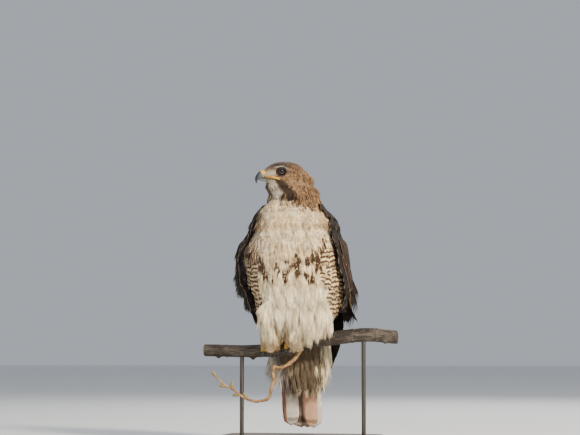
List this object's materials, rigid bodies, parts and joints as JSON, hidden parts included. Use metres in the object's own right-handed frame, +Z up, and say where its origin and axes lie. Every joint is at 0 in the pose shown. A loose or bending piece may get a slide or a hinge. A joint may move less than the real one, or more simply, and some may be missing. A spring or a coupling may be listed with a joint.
{
  "type": "red-tailed hawk on a perch",
  "caption": "Life-size still model of a red-tailed hawk gripping a short length of branch, head turned over its right shoulder side, tail hanging behind, on a plain flat stand with rods.",
  "frame": {"origin": "centre of the underside of the stand's base, on the floor", "axes": "+Z up; the hawk's breast faces -Y, its left side is +X, and the perch runs along X"},
  "size_m": [0.363, 0.22, 0.5292],
  "materials": {
    "pale_plumage": "soft feathers",
    "brown_plumage": "soft feathers",
    "dark_plumage": "firm feathers",
    "tail_plumage": "firm feathers",
    "eye": "wet gloss",
    "yellow_skin": "scaled",
    "horn": "semi-gloss",
    "bark": "rough bark",
    "twig_bark": "smooth young bark",
    "stand_wood": "satin",
    "rod_metal": "brushed"
  },
  "bodies": {
    "root": {"torso": "pale_plumage", "neck": "brown_plumage", "head": "brown_plumage", "cere": "yellow_skin", "bill_upper": "horn", "bill_lower": "horn", "eye_left": "eye", "eye_right": "eye", "wing_left": "dark_plumage", "wing_right": "dark_plumage", "tail": "tail_plumage", "thigh_left": "pale_plumage", "thigh_right": "pale_plumage", "foot_left": "yellow_skin", "foot_right": "yellow_skin", "claw_left_inner": "horn", "claw_left_middle": "horn", "claw_left_outer": "horn", "claw_left_hind": "horn", "claw_right_inner": "horn", "claw_right_middle": "horn", "claw_right_outer": "horn", "claw_right_hind": "horn", "perch_branch": "bark", "perch_twig": "twig_bark", "stand_base": "stand_wood", "stand_rod_left": "rod_metal", "stand_rod_right": "rod_metal"}
  },
  "joints": []
}
